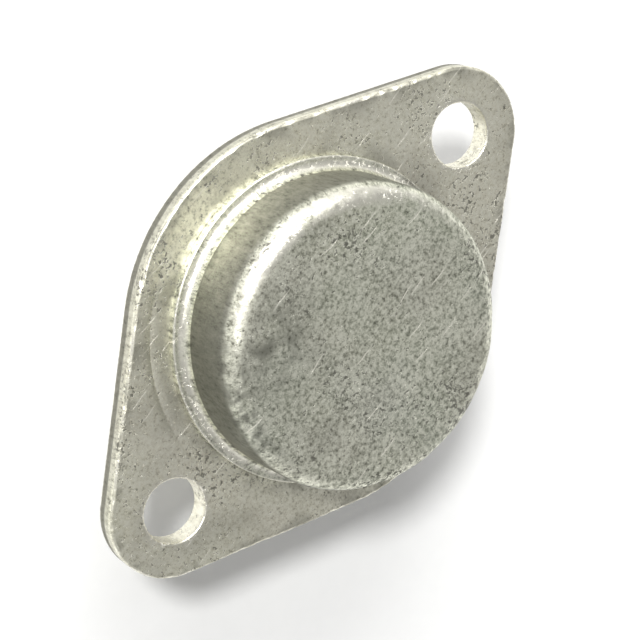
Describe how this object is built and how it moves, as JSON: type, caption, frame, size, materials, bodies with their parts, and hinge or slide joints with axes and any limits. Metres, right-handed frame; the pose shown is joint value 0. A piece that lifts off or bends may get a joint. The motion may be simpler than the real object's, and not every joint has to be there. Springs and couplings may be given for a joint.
{
  "type": "power transistor",
  "caption": "Metal-can power transistor: a drawn round cap welded to a diamond-shaped flange with screw holes, and tinned leads in black glass seals.",
  "frame": {"origin": "middle of the underside of the base plate, halfway between the two screw holes", "axes": "+X towards the screw hole nearer the leads, +Z from the seat towards the cap, the leads pointing along -Z"},
  "size_m": [0.039, 0.026, 0.0196],
  "materials": {
    "plate_nickel": "dull nickel plate on stamped steel, scratched and pitted",
    "cap_nickel": "dull nickel plate on drawn steel, scuffed at the rim",
    "slug_copper": "nickel-plated copper, ground flush with the plate",
    "black_glass": "fire-polished black sealing glass, opaque",
    "lead_tin": "dull tinned nickel-iron wire",
    "silicon": "etched silicon",
    "clip_nickel": "nickel-plated copper strip"
  },
  "bodies": {
    "root": {"base_plate": "plate_nickel", "cap": "cap_nickel", "heat_slug": "slug_copper", "emitter_seal": "black_glass", "base_seal": "black_glass", "emitter_lead": "lead_tin", "base_lead": "lead_tin", "silicon_die": "silicon", "emitter_clip": "clip_nickel", "base_clip": "clip_nickel"}
  },
  "joints": []
}
